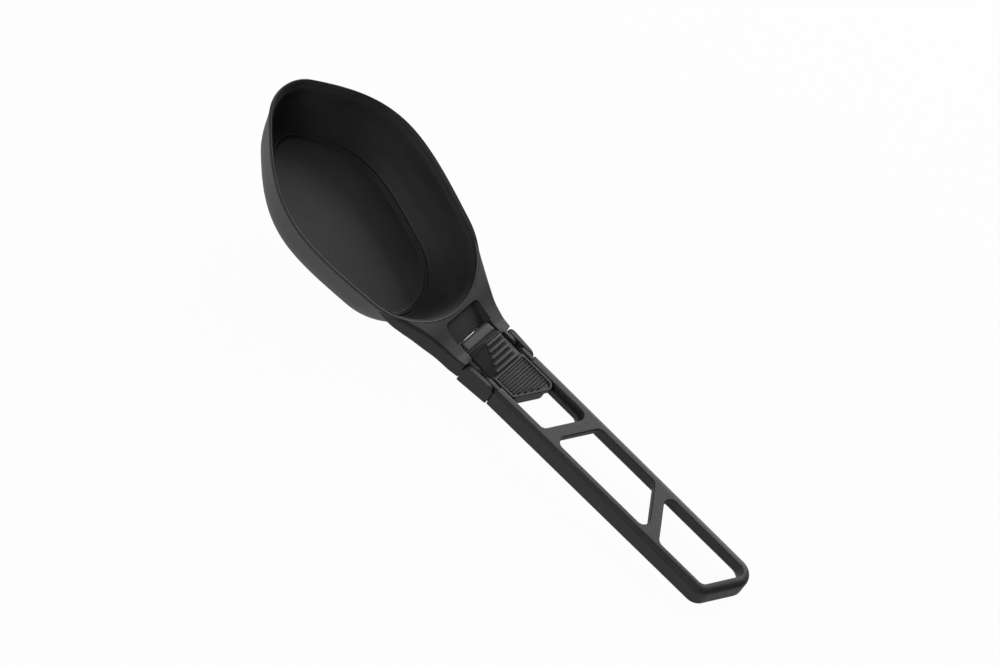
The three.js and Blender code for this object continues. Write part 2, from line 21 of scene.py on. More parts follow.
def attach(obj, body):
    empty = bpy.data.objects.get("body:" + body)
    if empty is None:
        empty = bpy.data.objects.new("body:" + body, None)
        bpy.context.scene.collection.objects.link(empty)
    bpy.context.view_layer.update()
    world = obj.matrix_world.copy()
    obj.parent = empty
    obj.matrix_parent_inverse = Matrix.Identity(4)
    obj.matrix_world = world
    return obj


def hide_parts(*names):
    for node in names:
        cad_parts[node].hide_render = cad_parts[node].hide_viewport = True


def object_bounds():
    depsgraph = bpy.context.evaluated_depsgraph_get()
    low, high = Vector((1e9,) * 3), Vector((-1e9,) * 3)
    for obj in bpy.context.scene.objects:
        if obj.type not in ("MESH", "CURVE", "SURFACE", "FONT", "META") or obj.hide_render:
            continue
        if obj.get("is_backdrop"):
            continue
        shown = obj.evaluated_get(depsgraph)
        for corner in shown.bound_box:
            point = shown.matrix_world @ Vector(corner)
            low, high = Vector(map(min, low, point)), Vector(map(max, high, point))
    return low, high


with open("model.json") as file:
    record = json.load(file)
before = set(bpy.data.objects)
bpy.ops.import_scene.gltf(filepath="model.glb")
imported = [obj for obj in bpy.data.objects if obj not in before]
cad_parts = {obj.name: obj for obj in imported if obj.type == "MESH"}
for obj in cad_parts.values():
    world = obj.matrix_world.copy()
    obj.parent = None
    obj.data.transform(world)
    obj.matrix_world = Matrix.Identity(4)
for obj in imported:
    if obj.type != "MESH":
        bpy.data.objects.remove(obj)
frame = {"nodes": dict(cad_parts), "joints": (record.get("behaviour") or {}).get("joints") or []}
cad_low, cad_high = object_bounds()
print("nodes", sorted(frame["nodes"]))
print("size in mm", [round(1000 * (high - low), 1) for low, high in zip(cad_low, cad_high)])

# %% [markdown]
# The spoon was drawn with the handle level and its origin at the neck's end face. It rests tilted, on the
# heel of its bowl and on the end of its handle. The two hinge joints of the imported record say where
# that drawing frame lies: the first pivot is a known place in it, and the line from the first pivot to
# the second is the handle's direction. So each surface below is worked out in drawing millimetres
# and carried to its resting place by one turn and one shift.

# %% The drawing frame
MM = 0.001
PIVOT_PLACE, PIVOT_SPACING, PIVOT_DROP = 3.7, 6.8, 3.2
pivots = {joint["name"]: np.array(joint["pos_m"]) for joint in frame["joints"] if "pos_m" in joint}
along_handle = pivots["handle_fold"] - pivots["link_fold"]
TILT = math.atan2(-along_handle[2], along_handle[0])


def turned(points, angle):
    """Points turned about the Y axis: x' = x cos a + z sin a and z' = z cos a - x sin a."""
    x, y, z = points[..., 0], points[..., 1], points[..., 2]
    return np.stack([x * np.cos(angle) + z * np.sin(angle), y, z * np.cos(angle) - x * np.sin(angle)], -1)


SHIFT = pivots["link_fold"] - turned(np.array([PIVOT_PLACE, 0, -PIVOT_DROP]) * MM, TILT)


def to_rest(points):
    """Drawing millimetres to metres in the row frame: scale, turn by the resting tilt, then shift."""
    return turned(np.asarray(points, float) * MM, TILT) + SHIFT


print("resting tilt in degrees", round(math.degrees(TILT), 3))

# %% [markdown]
# The photograph is taken from far away with a long lens: parallel edges stay parallel in it. So the camera
# here is a perspective one with a very long lens, placed several metres off, which is nearly the same as an
# orthographic view. Its three axes were measured in the drawing frame, from the handle's rails, its width
# and its height in the picture.

# %% Camera
LENS, SENSOR = 500.0, 36.0
PICTURE_WIDTH = 364.2 * MM
VIEW_RIGHT = np.array([0.7109, 0.6026, 0.3626])
VIEW_UP = np.array([-0.6962, 0.5296, 0.4847])
VIEW_CENTRE = to_rest([0.10, 5.10, 3.81])

camera_data = bpy.data.cameras.new("photo_camera")
camera_data.lens, camera_data.sensor_width = LENS, SENSOR
camera = bpy.data.objects.new("photo_camera", camera_data)
bpy.context.scene.collection.objects.link(camera)
bpy.context.scene.camera = camera
view_axes = [VIEW_RIGHT, VIEW_UP, np.cross(VIEW_RIGHT, VIEW_UP)]
camera_axes = np.array([turned(axis / np.linalg.norm(axis), TILT) for axis in view_axes])
camera_place = VIEW_CENTRE + camera_axes[2] * PICTURE_WIDTH * LENS / SENSOR
placing = np.eye(4)
placing[:3, :3], placing[:3, 3] = camera_axes.T, camera_place
camera.matrix_world = Matrix(placing.tolist())
print("camera stands", round(float(np.linalg.norm(camera_place)), 2), "m away")

# %% [markdown]
# Every moulded piece here is a stack of rings: closed outlines with the same number of points, one above
# the other, joined by bands of four-sided faces and closed at both ends by a fan. A few small helpers
# make such stacks from whole arrays. One rounds the corners of a polygon with arcs, one moves its sides
# inward, and one turns a stack of rings into a mesh.

# %% Outlines and stacks of rings
CORNER_STEPS, EDGE_STEPS = 12, 7
SMALL = 0.3


def unit(vectors):
    """Vectors divided by their own lengths."""
    return vectors / np.linalg.norm(vectors, axis=-1, keepdims=True)


def rounded_outline(corners, radii, steps=CORNER_STEPS):
    """A polygon with each corner replaced by an arc that touches both of its sides.
    The arc's centre lies radius / sin(half the corner's angle) from the corner along the bisector."""
    corners, radii = np.asarray(corners, float), np.asarray(radii, float)[:, None]
    before, after = unit(np.roll(corners, 1, 0) - corners), unit(np.roll(corners, -1, 0) - corners)
    half = np.arccos(np.clip(np.sum(before * after, 1, keepdims=True), -1, 1)) / 2
    centre = corners + unit(before + after) * radii / np.sin(half)
    first = corners + before * radii / np.tan(half) - centre
    last = corners + after * radii / np.tan(half) - centre
    start = np.arctan2(first[:, 1], first[:, 0])[:, None]
    turn = (np.arctan2(last[:, 1], last[:, 0])[:, None] - start + np.pi) % (2 * np.pi) - np.pi
    angle = start + turn * np.linspace(0, 1, steps + 1)
    arc = np.stack([np.cos(angle), np.sin(angle)], -1) * radii[..., None]
    return (centre[:, None] + arc).reshape(-1, 2)


def inset_corners(corners, inset):
    """The corners of an anticlockwise polygon with every side moved inward by the inset."""
    corners = np.asarray(corners, float)
    before, after = unit(corners - np.roll(corners, 1, 0)), unit(np.roll(corners, -1, 0) - corners)
    inward = np.stack([-before[:, 1] - after[:, 1], before[:, 0] + after[:, 0]], -1)
    return corners + inward * inset / (1 + np.sum(before * after, 1, keepdims=True))


def at_level(outline, level):
    """An outline in X and Y put at one height."""
    return np.column_stack([outline, np.full(len(outline), level)])


def at_place(outline, x):
    """An outline in Y and Z put at one place along X."""
    return np.column_stack([np.full(len(outline), x), outline])


def plate_levels(low, high, low_radius, high_radius, steps=EDGE_STEPS):
    """Insets and heights of a plate with rounded edges: a quarter circle at each face."""
    angle = np.linspace(0, np.pi / 2, steps + 1)
    bottom = np.column_stack([low_radius * (1 - np.sin(angle)), low + low_radius * (1 - np.cos(angle))])
    top = np.column_stack([high_radius * (1 - np.cos(angle)), high - high_radius * (1 - np.sin(angle))])
    return np.vstack([bottom, top])


def stepped(corners, radii, levels, steps=CORNER_STEPS):
    """Rings of one rounded outline at the given insets and heights."""
    return np.array([at_level(rounded_outline(
        inset_corners(corners, inset), np.maximum(np.asarray(radii) - inset, SMALL), steps,
    ), level) for inset, level in levels])


def ring_mesh(rings):
    """Vertices and faces of a stack of rings: ring i's point j is joined to j + 1 and to ring i + 1.
    Each end ring is closed by a fan round its own centre. The faces are turned so that they look outwards."""
    rows, count = rings.shape[:2]
    vertices = np.vstack([rings.reshape(-1, 3), rings[0].mean(0), rings[-1].mean(0)])
    row, column = np.meshgrid(np.arange(rows - 1), np.arange(count), indexing="ij")
    a, b = row * count + column, row * count + (column + 1) % count
    quads = np.stack([a, b, b + count, a + count], -1).reshape(-1, 4)
    around = np.arange(count)
    following = (around + 1) % count
    last = (rows - 1) * count
    first_fan = np.stack([np.full(count, rows * count), following, around], -1)
    last_fan = np.stack([np.full(count, rows * count + 1), last + around, last + following], -1)
    triangles = np.vstack([quads[:, [0, 1, 2]], quads[:, [0, 2, 3]], first_fan, last_fan])
    p = vertices[triangles]
    volume = np.sum(p[:, 0] * np.cross(p[:, 1], p[:, 2]))
    if volume < 0:
        quads, first_fan, last_fan = quads[:, ::-1], first_fan[:, ::-1], last_fan[:, ::-1]
    return vertices, quads.tolist() + first_fan.tolist() + last_fan.tolist()


def solid(rings):
    """A temporary object in drawing millimetres made from a stack of rings."""
    vertices, faces = ring_mesh(np.asarray(rings, float))
    mesh = bpy.data.meshes.new("shape")
    mesh.from_pydata(vertices.tolist(), [], faces)
    mesh.update()
    shape = bpy.data.objects.new("shape", mesh)
    bpy.context.scene.collection.objects.link(shape)
    return shape


print("a rounded square has", len(rounded_outline([(0, 0), (1, 0), (1, 1), (0, 1)], [0.2] * 4)), "points")

# %% [markdown]
# A mould is cut by taking one shape away from another, and a moulding grows by adding shapes. The same two
# acts work on closed meshes: Blender's Boolean modifier adds or takes away, and its result is kept as a
# plain mesh. A last helper moves a finished shape from drawing millimetres to its resting place,
# marks the sharp edges, lets the rest shade smoothly, and hands it to the body that carries it.

# %% Adding, cutting and finishing
SHARP_ANGLE = math.radians(32)


def combined(shape, others, operation):
    """The shape with every other one added to it or cut out of it; the others are used up."""
    for other in others:
        step = shape.modifiers.new("step", "BOOLEAN")
        step.operation, step.solver, step.object = operation, "MANIFOLD", other
        depsgraph = bpy.context.evaluated_depsgraph_get()
        result = bpy.data.meshes.new_from_object(shape.evaluated_get(depsgraph))
        shape.modifiers.clear()
        shape.data = result
        bpy.data.objects.remove(other)
    return shape


def added(shape, *others):
    """The union of the shapes."""
    return combined(shape, others, "UNION")


def cut(shape, *others):
    """The shape less the others."""
    return combined(shape, others, "DIFFERENCE")


def move_vertices(mesh, change):
    """Sends all vertices where the change puts them: they are read, changed and written as one array."""
    places = np.empty(len(mesh.vertices) * 3)
    mesh.vertices.foreach_get("co", places)
    mesh.vertices.foreach_set("co", change(places.reshape(-1, 3)).ravel())


def mirrored_copy(shape):
    """A copy with y turned to -y, and its faces turned round so that they still look outwards."""
    copy = shape.copy()
    copy.data = shape.data.copy()
    bpy.context.scene.collection.objects.link(copy)
    move_vertices(copy.data, lambda places: places * [1, -1, 1])
    copy.data.flip_normals()
    return copy


def finish_piece(shape, name, body, slot, material, *nodes):
    """Puts the piece in its resting place and smooths it, hangs it on the body that it rides on, and hides
    the imported nodes that it stands for.
    """
    mesh = shape.data
    move_vertices(mesh, to_rest)
    mesh.materials.clear()
    mesh.materials.append(material)
    mesh.shade_smooth()
    mesh.set_sharp_from_angle(angle=SHARP_ANGLE)
    mesh.update()
    shape.name = mesh.name = name
    weighted = shape.modifiers.new("even_shading", "WEIGHTED_NORMAL")
    weighted.keep_sharp, weighted.weight = True, 80
    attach(shape, body)
    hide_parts(*nodes)
    print(name, len(mesh.polygons), "faces")
    return shape


print("edges over", round(math.degrees(SHARP_ANGLE)), "degrees stay sharp")

# %% [markdown]
# Materials are trees of nodes. Three things come back in each of them, so they are helpers: adding a node
# with its values, joining outputs to inputs, and a ramp between two shades.

# %% Node helpers


def add_node(tree, kind, inputs=None, **settings):
    """A new node of one kind, with its own settings first and then values for its inputs."""
    node = tree.nodes.new("ShaderNode" + kind)
    for name, value in settings.items():
        setattr(node, name, value)
    for name, value in (inputs or {}).items():
        node.inputs[name].default_value = value
    return node


def link_nodes(tree, *pairs):
    """Joins each output socket to its input socket."""
    for output, target in pairs:
        tree.links.new(output, target)


def shade_ramp(tree, start, end, dark, pale):
    """A colour ramp from the dark shade at its start to the pale one at its end."""
    ramp = add_node(tree, "ValToRGB")
    for element, place, shade in zip(ramp.color_ramp.elements, (start, end), (dark, pale)):
        element.position, element.color = place, (*shade, 1)
    return ramp


def new_material(name):
    """A material with nodes, its tree and its main shader."""
    material = bpy.data.materials.new(name)
    material.use_nodes = True
    return material, material.node_tree, material.node_tree.nodes["Principled BSDF"]


print("node helpers", add_node.__name__, link_nodes.__name__, shade_ramp.__name__, new_material.__name__)

# %% [markdown]
# Glass-filled nylon straight from a mould is nearly black but never flat. It has a fine eroded texture, a
# soft satin sheen, faint cloudy patches where the fibres swirl, and pale specks where it is rubbed.
# Grain and clouds are needed by every nylon piece, each at its own strength, so they are one node group.
# The group gives a height for the bump, a cloud mask for colour and roughness, and a mask of rubbed
# specks. The shader itself stays in each material.

# %% Moulded grain as a node group


def make_grain_group():
    """Height = fine noise + half as much medium noise; clouds = wide noise stretched along the flow."""
    group = bpy.data.node_groups.new("moulded_grain", "ShaderNodeTree")
    for name, default in (("Grain Size", 2600.0), ("Cloud Size", 55.0), ("Flow", 0.35)):
        socket = group.interface.new_socket(name, in_out="INPUT", socket_type="NodeSocketFloat")
        socket.default_value = default
    for name in ("Height", "Clouds", "Specks"):
        group.interface.new_socket(name, in_out="OUTPUT", socket_type="NodeSocketFloat")
    inlet, outlet = group.nodes.new("NodeGroupInput"), group.nodes.new("NodeGroupOutput")
    place = add_node(group, "TexCoord")
    fine = add_node(group, "TexNoise", {"Detail": 2.0})
    medium = add_node(group, "TexNoise", {"Detail": 3.0})
    wide = add_node(group, "TexNoise", {"Detail": 4.0, "Roughness": 0.62})
    medium_size = add_node(group, "Math", {1: 0.22}, operation="MULTIPLY")
    height = add_node(group, "Math", {1: 0.5}, operation="MULTIPLY_ADD")
    specks = add_node(group, "MapRange", {"From Min": 0.6, "From Max": 0.78})
    stretch = add_node(group, "CombineXYZ", {"Y": 1.0, "Z": 1.0})
    flow = add_node(group, "VectorMath", operation="MULTIPLY")
    link_nodes(
        group,
        (inlet.outputs["Grain Size"], fine.inputs["Scale"]),
        (inlet.outputs["Grain Size"], medium_size.inputs[0]),
        (medium_size.outputs[0], medium.inputs["Scale"]),
        (inlet.outputs["Cloud Size"], wide.inputs["Scale"]),
        (inlet.outputs["Flow"], stretch.inputs["X"]),
        (stretch.outputs[0], flow.inputs[1]),
        (place.outputs["Object"], flow.inputs[0]),
        (flow.outputs[0], wide.inputs["Vector"]),
        (place.outputs["Object"], fine.inputs["Vector"]),
        (place.outputs["Object"], medium.inputs["Vector"]),
        (medium.outputs["Fac"], height.inputs[0]),
        (fine.outputs["Fac"], height.inputs[2]),
        (medium.outputs["Fac"], specks.inputs["Value"]),
        (height.outputs[0], outlet.inputs["Height"]),
        (wide.outputs["Fac"], outlet.inputs["Clouds"]),
        (specks.outputs["Result"], outlet.inputs["Specks"]),
    )
    return group


grain_group = make_grain_group()
print("group sockets", [item.name for item in grain_group.interface.items_tree])

# %% [markdown]
# A nylon material takes its colour from two close shades of charcoal, mixed by the clouds, with a pinch of
# paler specks. The roughness follows the clouds a little, so that highlights break up softly. The bump is
# only a few hundredths of a millimetre deep, as an eroded mould leaves it.

# %% Nylon materials
SPECK_LIGHTER, SPECK_SHARE = 1.9, 0.14
NYLON_IOR, NYLON_SPECULAR = 1.53, 0.13


def nylon(name, dark, pale, roughness, grain_size, bump):
    """Charcoal nylon: Base Color between two shades by the clouds, plus specks; bump from the grain."""
    material, tree, shader = new_material(name)
    grain = add_node(tree, "Group", {"Grain Size": grain_size}, node_tree=grain_group)
    shades = shade_ramp(tree, 0.3, 0.72, dark, pale)
    speck_colour = (*(SPECK_LIGHTER * value for value in pale), 1)
    speckled = add_node(tree, "Mix", {"B": speck_colour}, data_type="RGBA")
    speck_share = add_node(tree, "Math", {1: SPECK_SHARE}, operation="MULTIPLY")
    rough = add_node(tree, "MapRange", {"To Min": roughness - 0.06, "To Max": roughness + 0.07})
    relief = add_node(tree, "Bump", {"Distance": bump, "Strength": 0.55})
    link_nodes(
        tree,
        (grain.outputs["Clouds"], shades.inputs["Fac"]),
        (shades.outputs["Color"], speckled.inputs["A"]),
        (grain.outputs["Specks"], speck_share.inputs[0]),
        (speck_share.outputs[0], speckled.inputs["Factor"]),
        (speckled.outputs["Result"], shader.inputs["Base Color"]),
        (grain.outputs["Clouds"], rough.inputs["Value"]),
        (rough.outputs["Result"], shader.inputs["Roughness"]),
        (grain.outputs["Height"], relief.inputs["Height"]),
        (relief.outputs["Normal"], shader.inputs["Normal"]),
    )
    shader.inputs["IOR"].default_value = NYLON_IOR
    shader.inputs["Specular IOR Level"].default_value = NYLON_SPECULAR
    return material


body_nylon = nylon("moulded_charcoal", (0.019, 0.0193, 0.02), (0.0315, 0.032, 0.033), 0.5, 2600.0, 0.00006)
slider_nylon = nylon("slider_charcoal", (0.0205, 0.0208, 0.0215), (0.034, 0.0345, 0.0355), 0.52, 3200.0,
                     0.00005)
print("materials", body_nylon.name, slider_nylon.name)

# %% [markdown]
# The bowl is the heart of the spoon. Its rim is an egg outline: a round arc at the neck, gently spreading
# sides, and a tighter arc at the tip. Under the rim the wall leans in, turns round into the flat floor, and
# leaves a small raised bead where the floor begins. One could model a cup and scale it, but then the wall
# would be thick at the tip and thin at the sides. Here the wall's section is carried round the rim's
# outline instead, so the wall keeps its thickness everywhere. The outline comes first: one half of it as
# four cubic curves, mirrored, evenly spaced and gently smoothed.

# %% The rim's outline
PITCH = math.radians(12)
NECK_END, NECK_RUN = 4.0, 12.7
BOWL_LENGTH, BOWL_WIDTH = 103.8, 70.2
CURVE_POINTS, RIM_POINTS, RIM_SOFTNESS = 120, 400, 1.1
RIM_CURVES = np.array([
    [[0, 0], [0, 0.39], [0.09, 0.73], [0.215, 0.826]],
    [[0.215, 0.826], [0.323, 0.903], [0.444, 1], [0.554, 1]],
    [[0.554, 1], [0.723, 1], [0.834, 0.718], [0.95, 0.365]],
    [[0.95, 0.365], [0.98, 0.276], [1, 0.148], [1, 0]],
])


def bezier(curve, count):
    """Points of a cubic curve: (1-t)^3 a + 3 (1-t)^2 t b + 3 (1-t) t^2 c + t^3 d."""
    t = np.linspace(0, 1, count)[:, None]
    a, b, c, d = curve
    return (1 - t) ** 3 * a + 3 * (1 - t) ** 2 * t * b + 3 * (1 - t) * t ** 2 * c + t ** 3 * d


def closed_resample(points, count, softness):
    """A closed outline at even spacing, with each point then averaged with its neighbours: the weights
    are a bell curve of the given width, applied to the outline's waves by a Fourier transform."""
    ring = np.vstack([points, points[:1]])
    length = np.concatenate([[0], np.cumsum(np.linalg.norm(np.diff(ring, axis=0), axis=1))])
    even = np.linspace(0, length[-1], count, endpoint=False)
    path = np.column_stack([np.interp(even, length, ring[:, k]) for k in range(2)])
    wave = np.fft.rfftfreq(count, length[-1] / count)[:, None]
    bell = np.exp(-2 * (np.pi * softness * wave) ** 2)
    return np.fft.irfft(np.fft.rfft(path, axis=0) * bell, count, axis=0)


half_rim = np.vstack([bezier(curve, CURVE_POINTS)[:-1] for curve in RIM_CURVES] + [RIM_CURVES[-1, -1:]])
whole_rim = np.vstack([half_rim, half_rim[-2:0:-1] * [1, -1]])
whole_rim = whole_rim * [-BOWL_LENGTH, BOWL_WIDTH / 2] - [NECK_RUN, 0]
rim = closed_resample(whole_rim, RIM_POINTS, RIM_SOFTNESS)
rim_along = unit(np.roll(rim, -1, 0) - np.roll(rim, 1, 0))
rim_inward = np.column_stack([-rim_along[:, 1], rim_along[:, 0]])
print("rim length in mm", round(float(np.linalg.norm(np.diff(rim, axis=0), axis=1).sum()), 1))

# %% [markdown]
# The wall's section is a path of pairs: a depth below the rim, and the share of the way in to the floor's
# outline. The outer face and the inner one have a path each, and a short third one rounds the lip between
# them. The inner path ends in the small bead and the groove that run round the floor.

# %% The wall's section
WALL, LIP_HEIGHT, SIDE_IN = 1.2, 1.3, 10.8
OUTER_REAR_IN, OUTER_TIP_IN = 11.8, 13.4
INNER_REAR_IN, INNER_TIP_IN = 9.2, 14.4
OUTER_PATH = np.array([
    [24, 1.0], [23.7, 0.9], [23.1, 0.82], [21.6, 0.71], [18, 0.56], [14, 0.42], [10.1, 0.3], [6, 0.175],
    [3, 0.085], [1.9, 0.055], [1.55, 0.05], [1.35, 0.03], [1.22, 0.004], [1.1, 0.0], [0.8, 0.0],
])
LIP_POINTS = np.array([  # depth and way in from the outer face, in millimetres
    [0.8, 0.0], [0.4, 0.01], [0.14, 0.07], [0.02, 0.19], [0.0, 0.3], [0.05, 0.45], [0.16, 0.6], [0.34, 0.8],
    [0.6, 1.03], [0.92, 1.25],
])
INNER_PATH = np.array([
    [0.92, 0.005], [1.3, 0.02], [2.0, 0.05], [3.5, 0.12], [6, 0.175], [9, 0.24], [12.5, 0.37], [16, 0.52],
    [19.0, 0.7], [20.4, 0.79], [21.1, 0.85], [21.3, 0.88], [21.2, 0.902], [20.8, 0.925], [20.62, 0.948],
    [20.7, 0.975], [21.15, 1.0], [21.9, 1.03], [22.18, 1.06], [22.27, 1.12], [22.3, 1.25], [22.3, 1.6],
])


def smooth_path(points, count):
    """A path through the points whose direction never jumps: between two points it is the cubic whose end
    slopes are half the step between their neighbours."""
    p = np.vstack([2 * points[0] - points[1], points, 2 * points[-1] - points[-2]])
    place = np.linspace(0, len(points) - 1 - 1e-9, count)
    i, t = place.astype(int), (place % 1)[:, None]
    a, b, c, d = p[i], p[i + 1], p[i + 2], p[i + 3]
    square, cube = a - 2.5 * b + 2 * c - d / 2, 1.5 * (b - c) + (d - a) / 2
    return b + t * (c - a) / 2 + t ** 2 * square + t ** 3 * cube


def in_head_frame(points):
    """Points given along the rim's plane, turned up by its pitch about the bend in the neck."""
    return turned(points, PITCH) - [NECK_END, 0, 0]


def bowl_rings(path, wall, rear_in, tip_in):
    """Rings of the rim's outline: each is scaled in towards the floor's outline by its inward share, moved
    in by the wall's thickness along the rim's own normal, and sunk by its depth below the rim."""
    depth, share = path[:, 0][:, None], path[:, 1][:, None]
    wall = np.broadcast_to(np.asarray(wall, float).reshape(-1, 1), depth.shape)
    x = -NECK_RUN - share * rear_in + (rim[:, 0] + NECK_RUN) * (1 - share * (rear_in + tip_in) / BOWL_LENGTH)
    y = rim[:, 1] * (1 - share * SIDE_IN / (BOWL_WIDTH / 2))
    height = LIP_HEIGHT - depth + 0 * x
    return in_head_frame(np.stack([x + wall * rim_inward[:, 0], y + wall * rim_inward[:, 1], height], -1))


outer_rings = bowl_rings(smooth_path(OUTER_PATH, 70), 0, OUTER_REAR_IN, OUTER_TIP_IN)
inner_rings = bowl_rings(smooth_path(INNER_PATH, 90), WALL, INNER_REAR_IN, INNER_TIP_IN)
lip_path = smooth_path(LIP_POINTS, 28)[1:-1]
lip_rings = bowl_rings(lip_path * [1, 0], lip_path[:, 1], OUTER_REAR_IN, OUTER_TIP_IN)
print("rings", len(outer_rings), len(lip_rings), len(inner_rings))

# %% [markdown]
# The neck grows out of the bowl's rear and narrows to the hinge. Its sections across are rounded oblongs
# whose width, depth and height are read from a short table by a smooth path, so that it flares like the
# photographed one. The bowl's own hollow is cut out of it, so that nothing of it stands inside the bowl.

# %% Neck
NECK_LENGTH = NECK_END + NECK_RUN * math.cos(PITCH)
NECK_WIDTH, NECK_LOW_RADIUS, NECK_TOP_RADIUS = 27.9, 2.6, 1.2
DEPTH = 9.5  # of the neck and the handle
NECK_TABLE = np.array([  # place along the neck, width, depth, rise and edge radius as shares
    [0, 1, 1, 0, 0.7], [0.244, 1.045, 1, 0, 0.7], [0.61, 1.147, 0.97, 0.06, 0.8],
    [0.96, 1.305, 0.92, 0.72, 1], [1.22, 1.455, 0.8, 0.92, 1.2], [1.5, 1.634, 0.67, 0.95, 1.4],
    [1.8, 1.81, 0.52, 0.95, 1.4], [2.2, 1.91, 0.36, 0.95, 1.2],
])


def neck_top(x):
    """The height of the neck's top: level to the bend, then rising with the rim."""
    return math.tan(PITCH) * max(0.0, -NECK_END - x)


def neck_section(row):
    """A rounded oblong across the neck at one place, from a row of shares."""
    place, width, depth, rise, radius = row
    x, half = -NECK_LENGTH * place, NECK_WIDTH / 2 * width
    top, low = neck_top(x) + LIP_HEIGHT * rise, neck_top(x) - DEPTH * depth
    corners = [(-half, low), (half, low), (half, top), (-half, top)]
    low_radius, top_radius = NECK_LOW_RADIUS * depth, NECK_TOP_RADIUS * radius
    return at_place(rounded_outline(corners, [low_radius, low_radius, top_radius, top_radius]), x)


neck = solid([neck_section(row) for row in smooth_path(NECK_TABLE, 60)])
above_rim = in_head_frame(turned(inner_rings[:1] + [NECK_END, 0, 0], -PITCH) + [0, 0, 2])
neck = cut(neck, solid(np.vstack([above_rim, inner_rings])))
print("neck faces", len(neck.data.polygons))

# %% [markdown]
# The neck's top has a shallow bare panel, and behind it is a window that the slider's nose fills. Moulders
# core out thick plastic, so the underside is hollow too, with a mouth towards the window. Each of these is
# a stack of rings cut out of the neck, and each cut runs past the face that it opens.

# %% Panel, window and core
PAST = 1.0
BOTTOM = -DEPTH - PAST
WINDOW, WINDOW_HALF, WINDOW_RADIUS = 7.9, 8.9, 0.6
PANEL_HALF, PANEL_FLOOR_HALF, PANEL_RADIUS, PANEL_FLOOR_RADIUS = 9.7, 8.3, 2.2, 0.7
PANEL_FRONT_DROP, PANEL_REAR_DROP = 0.9, 3.6
CORE_FRONT, CORE_REAR, CORE_HALF, CORE_RADIUS = 5.9, 4.0, 10.5, 2.8
CORE_LEVELS = [[-0.5, BOTTOM], [0, -5.4], [0.6, -4.8]]
MOUTH_RUN, MOUTH_HALF, MOUTH_RADIUS, MOUTH_SIDE = 7.0, 3.9, 1.0, 2.4


def oblong(x0, x1, half):
    """The corners of an oblong in X and Y, anticlockwise."""
    return [(x0, -half), (x1, -half), (x1, half), (x0, half)]


def neck_panel():
    """The cut for the panel: two sections across, with sides that lean out as they rise."""
    rings = []
    for x, drop in ((PAST - NECK_LENGTH, PANEL_FRONT_DROP), (PAST - WINDOW, PANEL_REAR_DROP)):
        low, high = neck_top(x) - drop, neck_top(x) + PAST
        half = PANEL_HALF + PAST * (PANEL_HALF - PANEL_FLOOR_HALF) / drop
        corners = [(-PANEL_FLOOR_HALF, low), (PANEL_FLOOR_HALF, low), (half, high), (-half, high)]
        radii = [PANEL_FLOOR_RADIUS, PANEL_FLOOR_RADIUS, SMALL, SMALL]
        rings.append(at_place(rounded_outline(corners, radii), x))
    plan = stepped(oblong(PAST - NECK_LENGTH, 2 * PAST - WINDOW, PANEL_HALF),
                   [PANEL_RADIUS, SMALL, SMALL, PANEL_RADIUS], [[0, -DEPTH], [0, DEPTH]])
    return combined(solid(rings), [solid(plan)], "INTERSECT")


window = solid(stepped(oblong(-WINDOW, PAST, WINDOW_HALF), [WINDOW_RADIUS] * 4, [[0, BOTTOM], [0, PAST]]))
core_plan = oblong(-NECK_LENGTH - CORE_FRONT, -WINDOW - CORE_REAR, CORE_HALF)
core = solid(stepped(core_plan, [CORE_RADIUS] * 4, CORE_LEVELS))
mouth_plan = oblong(-WINDOW - MOUTH_RUN, PAST - WINDOW, MOUTH_HALF)
core_mouth = solid(stepped(mouth_plan, [MOUTH_RADIUS] * 4, CORE_LEVELS) + [0, MOUTH_SIDE, 0])
neck = cut(neck, neck_panel(), window, core, core_mouth)
print("neck faces after the cuts", len(neck.data.polygons))

# %% [markdown]
# Each side of the hinge has two prongs, one on the neck and one on the handle: flat bars with a round end
# about a pivot. The outline is half a circle and two straight sides, stacked sideways with softly broken
# edges, and then bored for the pin and sunk for its head.

# %% Prongs
PRONG_IN, PRONG_OUT, PRONG_EDGE, PRONG_ROOT = 9.6, 11.2, 0.25, -2.0
PIN_RADIUS, PIN_HEAD, HEAD_DEPTH, PIN_GAP = 1.2, 1.9, 0.6, 0.12


def across(outline_rings):
    """Rings drawn in X and Y turned to stand in X and Z, stacked along Y."""
    return np.asarray(outline_rings)[..., [0, 2, 1]]


def disc(radius, count=64):
    """A circle of points: (r cos a, r sin a)."""
    angle = np.linspace(0, 2 * np.pi, count, endpoint=False)
    return radius * np.column_stack([np.cos(angle), np.sin(angle)])


def peg(pivot, radius, low, high):
    """A round bar along Y through a pivot."""
    return solid(across([at_level(disc(radius) + [pivot, -PIVOT_DROP], y) for y in (low, high)]))


def prong(pivot, root):
    """A flat bar from its root to a round end about the pivot, with broken edges, bored for a pin."""
    toward_root, length = np.sign(root - pivot), abs(root - pivot)
    sweep = np.linspace(-np.pi / 2, np.pi / 2, 33)
    end = PIVOT_DROP * np.column_stack([-toward_root * np.cos(sweep), np.sin(sweep) - 1]) + [pivot, 0]
    outline = np.vstack([[(root, -2 * PIVOT_DROP)], end, [(root, 0)]])[::-int(toward_root)]
    middle = np.array([(pivot + root) / 2, -PIVOT_DROP])
    rings = []
    for inset, y in plate_levels(PRONG_IN, PRONG_OUT, PRONG_EDGE, PRONG_EDGE, 3):
        share = [1 - inset / (length / 2 + PIVOT_DROP), 1 - inset / PIVOT_DROP]
        rings.append(at_level(middle + (outline - middle) * share, y))
    return cut(solid(across(rings)), peg(pivot, PIN_RADIUS + PIN_GAP, PRONG_IN - PAST, PRONG_OUT + PAST),
               peg(pivot, PIN_HEAD + PIN_GAP, PRONG_IN - PAST, PRONG_IN + HEAD_DEPTH))


def both_prongs(pivot, root):
    """A prong and its mirror image."""
    side = prong(pivot, root)
    return side, mirrored_copy(side)


print("prong thickness in mm", round(PRONG_OUT - PRONG_IN, 2))

